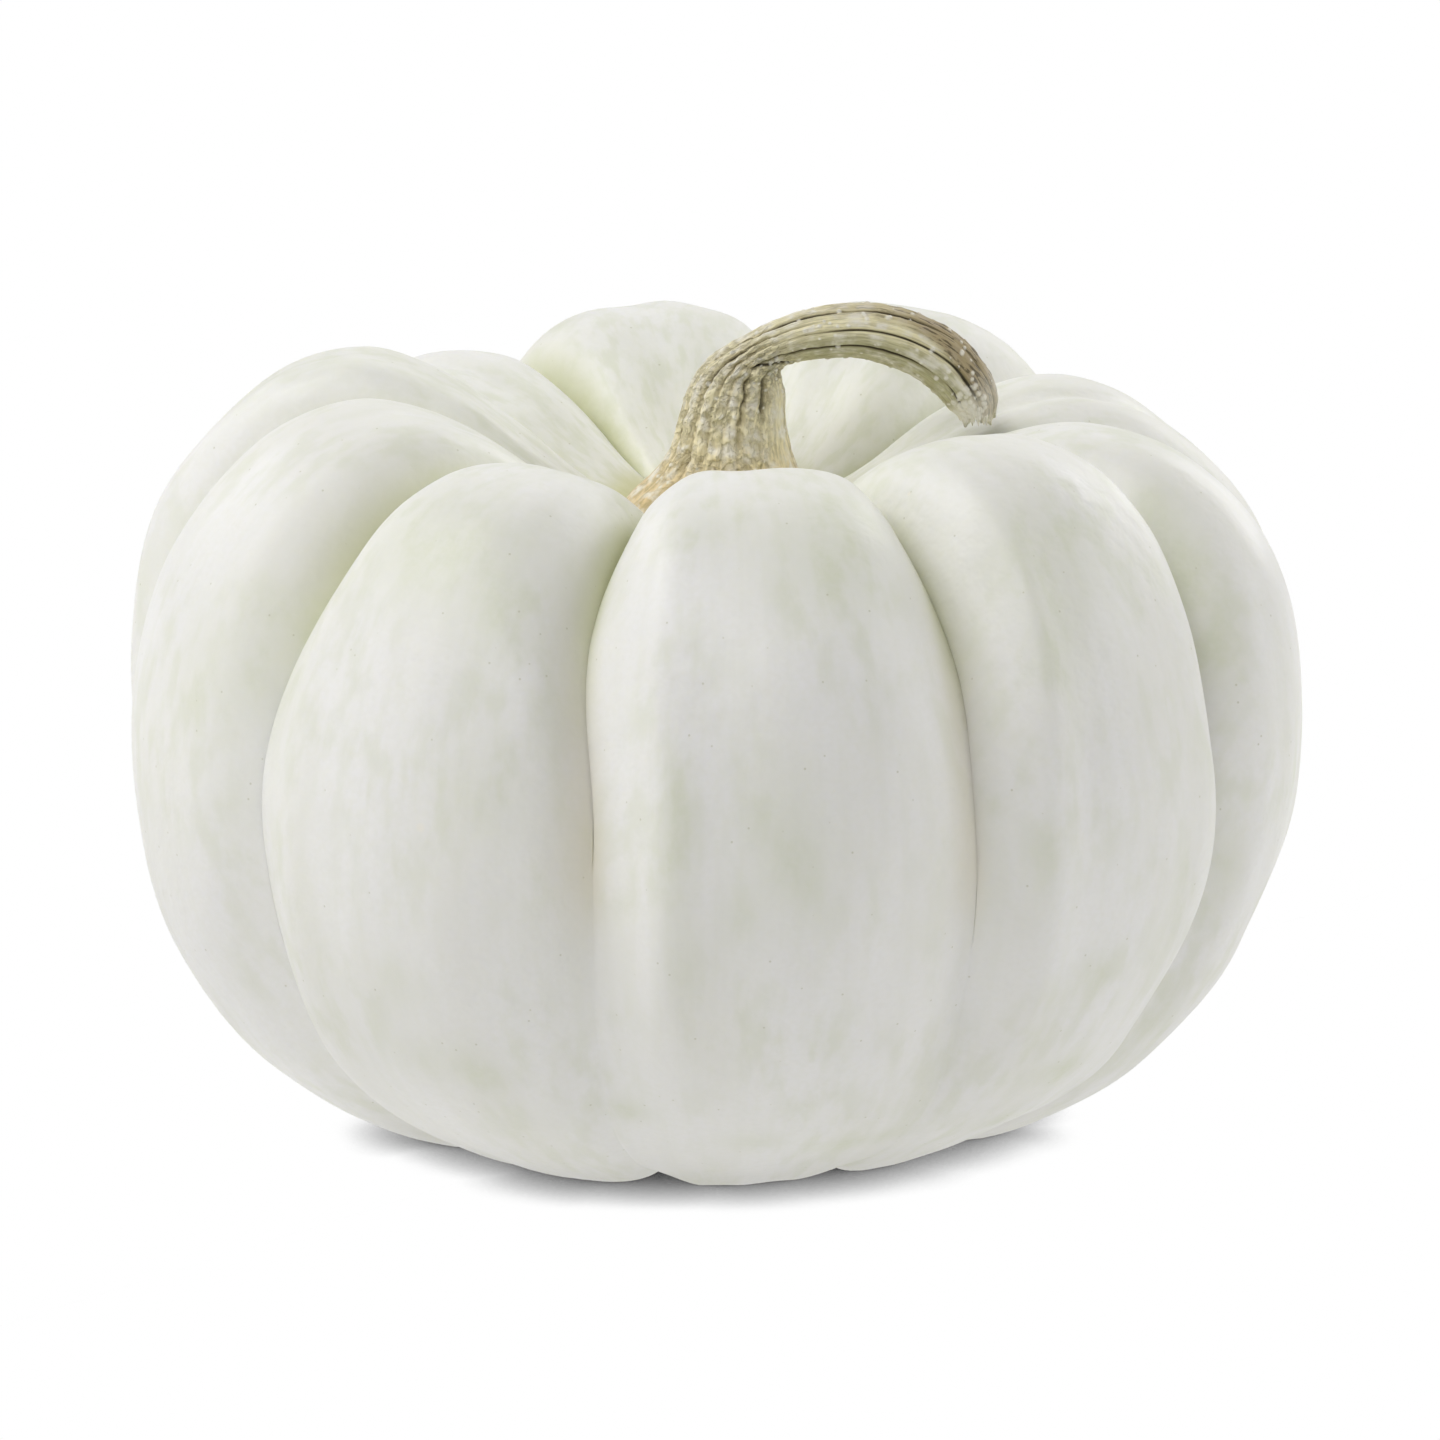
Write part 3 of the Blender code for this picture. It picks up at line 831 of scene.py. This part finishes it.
def dots(tree, place, spots, inner, outer):
    """A mask of round dots at these places: 1 inside the inner share of the radius, 0 at the outer."""
    total = None
    for spot, radius in spots:
        away = add_node(tree, "ShaderNodeVectorMath", {"operation": "DISTANCE", 1: spot}, {0: place})
        dot = between(tree, away.outputs["Value"], outer * radius, inner * radius)
        if total is None:
            total = dot
        else:
            larger = add_node(tree, "ShaderNodeMath", {"operation": "MAXIMUM"}, {0: total, 1: dot})
            total = larger.outputs[0]
    return total


def coats(tree, ground, layers):
    """Colours laid over the ground colour in turn, each by its strength and the product of its masks."""
    colour = ground
    for coat, strength, masks in layers:
        share = None
        for mask in masks:
            links = {0: mask} if share is None else {0: mask, 1: share}
            settings = {"operation": "MULTIPLY"}
            if share is None:
                settings[1] = strength
            share = add_node(tree, "ShaderNodeMath", settings, links).outputs[0]
        laid = add_node(tree, "ShaderNodeMix", {"data_type": "RGBA", 6: ground, 7: coat}, {0: share})
        if colour is not ground:
            tree.links.new(colour, laid.inputs[6])
        colour = laid.outputs[2]
    return colour


def relief(tree, heights):
    """Bump from masks, each with its real height in metres, or depth if negative. Returns the normal."""
    normal = None
    for mask, height in heights:
        settings = {"Strength": 1.0, "Distance": abs(height), "invert": height < 0}
        bump = add_node(tree, "ShaderNodeBump", settings, {"Height": mask})
        if normal is not None:
            tree.links.new(normal, bump.inputs["Normal"])
        normal = bump.outputs["Normal"]
    return normal


def waxy_skin(colours, dot_places):
    """Waxy skin of a ripe white squash, grown: satin, faintly see-through, white with soft green clouds."""
    material, tree, shader = new_material("waxy_skin")
    place = add_node(tree, "ShaderNodeTexCoord").outputs["Object"]
    grain, furrow, tan, crown, scar, seat, green = kept_values(
        tree, "grain", "furrow", "tan", "crown", "scar", "seat", "green"
    )
    clouds = patches(tree, grain, 8 * MM, 26 * MM, 0.32, 0.72, detail=2.0)
    small = patches(tree, grain, 2.0 * MM, 4.5 * MM, 0.41, 0.68, detail=4.0)
    fields = patches(tree, grain, 9 * MM, 14 * MM, 0.36, 0.60, detail=1.0)
    streaks = patches(tree, grain, 1.1 * MM, 20 * MM, 0.40, 0.75, detail=2.0)
    mottling = patches(tree, place, 0.45 * MM, 0.45 * MM, 0.35, 0.72, detail=1.0)
    tiny = specks(tree, place, 1.7 * MM, 0.12 * MM)
    halo = dots(tree, place, dot_places, 0.55, 1.0)
    pit = dots(tree, place, dot_places[:1], 0.12, 0.30)
    layers = (
        (colours.cloud, 0.75, (clouds,)),
        (colours.patch, 0.52, (green,)),
        (colours.patch, 0.47, (green, small)),
        (colours.patch, 0.39, (small, fields)),
        (colours.patch, 0.10, (streaks,)),
        (colours.cloud, 0.25, (mottling,)),
        (colours.crown, 0.60, (crown,)),
        (colours.patch, 0.42, (crown, small)),
        (colours.tan, 0.55, (tan,)),
        (colours.furrow, 0.80, (furrow,)),
        (colours.seat, 0.8, (seat,)),
        (colours.scar, 0.95, (scar,)),
        (colours.speck, 0.35, (tiny,)),
        (colours.bristle, 0.6, (halo,)),
        (colours.speck, 0.6, (pit,)),
    )
    tree.links.new(coats(tree, colours.skin, layers), shader.inputs["Base Color"])
    gloss = add_node(tree, "ShaderNodeMapRange", {"To Min": 0.38, "To Max": 0.50}, {"Value": clouds})
    tree.links.new(gloss.outputs[0], shader.inputs["Roughness"])
    dimples = patches(tree, place, 1.5 * MM, 1.5 * MM, 0.2, 0.8, detail=2.0)
    tree.links.new(relief(tree, ((dimples, 0.05 * MM),)), shader.inputs["Normal"])
    shader.inputs["IOR"].default_value = 1.45
    shader.inputs["Subsurface Weight"].default_value = 0.25
    shader.inputs["Subsurface Radius"].default_value = (1.0, 0.95, 0.7)
    shader.inputs["Subsurface Scale"].default_value = 1.5 * MM
    return material


def dried_stalk(colours):
    """Dried plant stalk, grown and shrunk: matt, straw on its ridges and dark brown in its grooves, partly
    painted
    light: a painted highlight on the crests, painted shade in the grooves and under the arch.
    """
    material, tree, shader = new_material("dried_stalk")
    place = add_node(tree, "ShaderNodeTexCoord").outputs["Object"]
    fibre, groove, foot, rough, fold, arch, under, stain, end, bristle = kept_values(
        tree, "fibre", "groove", "foot", "rough", "fold", "arch", "under", "stain", "end", "bristle"
    )
    threads = patches(tree, fibre, 0.17 * MM, 1.8 * MM, 0.40, 0.64)
    flecks = patches(tree, fibre, 0.25 * MM, 1.1 * MM, 0.50, 0.60)
    blotches = patches(tree, place, 1.3 * MM, 1.3 * MM, 0.40, 0.66)
    crumbs = patches(tree, fibre, 0.30 * MM, 0.55 * MM, 0.42, 0.62)
    valleys = between(tree, groove, 0.20, 0.62)
    deep = between(tree, groove, 0.36, 0.72)
    crests_and_highlight = between(tree, groove, 0.30, 0.02)
    layers = (
        (colours.foot, 0.25, (blotches, rough)),
        (colours.khaki, 0.90, (arch,)),
        (colours.foot, 0.85, (foot,)),
        # Painted shade on the under side of the arch
        (colours.fold, 0.56, (under,)),
        (colours.valley, 0.36, (threads,)),
        (colours.valley, 0.42, (crumbs, rough)),
        # Pale crests: partly the ridges' own bleached straw, partly painted highlight
        (colours.bristle, 0.80, (crests_and_highlight, blotches)),
        (colours.fold, 0.5, (fold, blotches)),
        (colours.bark, 0.80, (stain,)),
        (colours.groove, 0.70, (stain, flecks)),
        # Partly the grooves' own brown, partly painted shade in them
        (colours.valley, 0.65, (valleys,)),
        (colours.groove, 0.9, (deep,)),
        (colours.bristle, 0.85, (end,)),
        (colours.bristle, 0.9, (bristle,)),
    )
    tree.links.new(coats(tree, colours.straw, layers), shader.inputs["Base Color"])
    shader.inputs["Roughness"].default_value = 0.75
    grit = add_node(tree, "ShaderNodeMath", {"operation": "MULTIPLY"}, {0: crumbs, 1: rough}).outputs[0]
    heights = ((threads, 0.03 * MM), (grit, -0.12 * MM))
    tree.links.new(relief(tree, heights), shader.inputs["Normal"])
    return material


def white_paper():
    """White paper, uncoated: matt and glowing a little. The camera sees it plain white, but for a painted
    shadow of what touches it.
    """
    material = bpy.data.materials.new("white_paper")
    material.use_nodes = True
    tree = material.node_tree
    tree.nodes.clear()
    seen = add_node(tree, "ShaderNodeLightPath").outputs["Is Camera Ray"]
    paper = add_node(tree, "ShaderNodeBsdfDiffuse", {"Color": (FLOOR_TONE, FLOOR_TONE, FLOOR_TONE, 1)})
    lit = add_node(tree, "ShaderNodeEmission", {"Strength": FLOOR_GLOW})
    both = add_node(tree, "ShaderNodeAddShader", {}, {0: paper.outputs[0], 1: lit.outputs[0]})
    # The camera sees a white glow, darkened into a painted contact shadow where the object covers the floor
    covered = add_node(tree, "ShaderNodeAmbientOcclusion", {"samples": 16, "Distance": SHADOW_REACH})
    limits = {"From Min": SHADOW_DARKEST, "From Max": SHADOW_OPEN}
    shade = add_node(tree, "ShaderNodeMapRange", limits, {"Value": covered.outputs["AO"]}).outputs[0]
    faded = add_node(tree, "ShaderNodeMath", {"operation": "POWER", 1: SHADOW_SOFTNESS}, {0: shade})
    white = add_node(tree, "ShaderNodeEmission", {}, {"Strength": faded.outputs[0]})
    mixed = add_node(tree, "ShaderNodeMixShader", {}, {0: seen, 1: both.outputs[0], 2: white.outputs[0]})
    add_node(tree, "ShaderNodeOutputMaterial", {}, {"Surface": mixed.outputs[0]})
    return material


class PUMPKIN_OT_fruit(bpy.types.Operator):
    """Model the ribbed fruit with its waxy skin"""

    bl_idname = "pumpkin.fruit"
    bl_label = "Fruit"

    def execute(self, context):
        sizes = context.scene.pumpkin_sizes
        grid, values = fruit_grid(sizes)
        fruit = rolled_sheet("ribbed_fruit", grid, grid[0].mean(axis=0), grid[-1].mean(axis=0), values)
        dot_places = []
        for number, across, along, radius in PALE_DOTS:
            place, _ = fruit_points(sizes, np.array(number), np.array(across), np.array(along))
            dot_places.append((tuple(place), radius * MM))
        fruit.data.materials.append(waxy_skin(context.scene.pumpkin_colours, dot_places))
        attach(fruit, "root")
        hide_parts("fruit")
        return {"FINISHED"}


class PUMPKIN_OT_stalk(bpy.types.Operator):
    """Model the dried, ridged stalk"""

    bl_idname = "pumpkin.stalk"
    bl_label = "Stalk"

    def execute(self, context):
        grid, values = stalk_grid(context.scene.pumpkin_sizes)
        stalk = rolled_sheet("ridged_stalk", grid, grid[0].mean(axis=0), grid[-1].mean(axis=0), values)
        stalk.data.materials.append(dried_stalk(context.scene.pumpkin_colours))
        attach(stalk, "root")
        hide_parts("stem")
        return {"FINISHED"}


def aim(thing, target):
    """Turns a lamp, which shines along its own -Z, towards a point."""
    gaze = np.array(target) - np.array(thing.location)
    level = math.hypot(gaze[0], gaze[1])
    thing.rotation_euler = (math.atan2(level, -gaze[2]), 0, math.atan2(-gaze[0], gaze[1]))


def add_softbox(scene, name, place, width, height, power):
    lamp = bpy.data.lights.new(name, "AREA")
    lamp.shape = "RECTANGLE"
    lamp.size, lamp.size_y = width, height
    lamp.energy = power
    made = bpy.data.objects.new(name, lamp)
    scene.collection.objects.link(made)
    made.location = place
    aim(made, LIT_POINT)


def light_room(scene):
    """An even, dim room, which the camera sees as plain white."""
    world = bpy.data.worlds.new("studio")
    scene.world = world
    world.use_nodes = True
    tree = world.node_tree
    tree.nodes.clear()
    seen = add_node(tree, "ShaderNodeLightPath").outputs["Is Camera Ray"]
    room = add_node(tree, "ShaderNodeBackground", {"Color": (1, 1, 1, 1), "Strength": ROOM_LIGHT})
    backdrop = add_node(tree, "ShaderNodeBackground", {"Color": (1, 1, 1, 1), "Strength": BACKDROP_LIGHT})
    mixed = add_node(tree, "ShaderNodeMixShader", {}, {0: seen, 1: room.outputs[0], 2: backdrop.outputs[0]})
    add_node(tree, "ShaderNodeOutputWorld", {}, {"Surface": mixed.outputs[0]})


def add_camera(scene):
    camera_data = bpy.data.cameras.new("camera")
    camera = bpy.data.objects.new("camera", camera_data)
    scene.collection.objects.link(camera)
    camera_data.sensor_width = SENSOR_MM
    camera_data.lens = LENS_MM
    sine, cosine = math.sin(CAMERA_PITCH), math.cos(CAMERA_PITCH)
    camera.location = (
        FRUIT_AXIS[0] + CAMERA_RIGHT,
        FRUIT_AXIS[1] + CAMERA_UP * sine - CAMERA_BACK * cosine,
        CAMERA_UP * cosine + CAMERA_BACK * sine,
    )
    camera.rotation_euler = (math.pi / 2 - CAMERA_PITCH, 0, 0)
    scene.camera = camera


class PUMPKIN_OT_studio(bpy.types.Operator):
    """Set up the pale floor, the soft light and the camera"""

    bl_idname = "pumpkin.studio"
    bl_label = "Studio"

    def execute(self, context):
        scene = context.scene
        clear_selection()
        bpy.ops.mesh.primitive_plane_add(size=6.0, location=(0, 0, CAD_BOX[0][2]))
        floor = context.object
        floor.name = "floor"
        floor.data.materials.append(white_paper())
        light_room(scene)
        for softbox in SOFTBOXES:
            add_softbox(scene, *softbox)
        add_camera(scene)
        scene.view_settings.view_transform = "Standard"
        return {"FINISHED"}


class PUMPKIN_PT_panel(bpy.types.Panel):
    bl_idname = "PUMPKIN_PT_panel"
    bl_label = "Pumpkin"
    bl_space_type = "VIEW_3D"
    bl_region_type = "UI"
    bl_category = "Pumpkin"

    def draw(self, context):
        for group in (context.scene.pumpkin_sizes, context.scene.pumpkin_colours):
            for name in group.bl_rna.properties.keys():
                if name not in ("rna_type", "name"):
                    self.layout.prop(group, name)
        for operator in (PUMPKIN_OT_fruit, PUMPKIN_OT_stalk, PUMPKIN_OT_studio):
            self.layout.operator(operator.bl_idname)


CLASSES = (
    PUMPKIN_PG_sizes,
    PUMPKIN_PG_colours,
    PUMPKIN_OT_fruit,
    PUMPKIN_OT_stalk,
    PUMPKIN_OT_studio,
    PUMPKIN_PT_panel,
)


def register():
    for made in CLASSES:
        bpy.utils.register_class(made)
    bpy.types.Scene.pumpkin_sizes = bpy.props.PointerProperty(type=PUMPKIN_PG_sizes)
    bpy.types.Scene.pumpkin_colours = bpy.props.PointerProperty(type=PUMPKIN_PG_colours)


def unregister():
    del bpy.types.Scene.pumpkin_colours
    del bpy.types.Scene.pumpkin_sizes
    for made in reversed(CLASSES):
        bpy.utils.unregister_class(made)


def main():
    register()
    bpy.ops.pumpkin.fruit()
    bpy.ops.pumpkin.stalk()
    bpy.ops.pumpkin.studio()


if __name__ == "__main__":
    main()
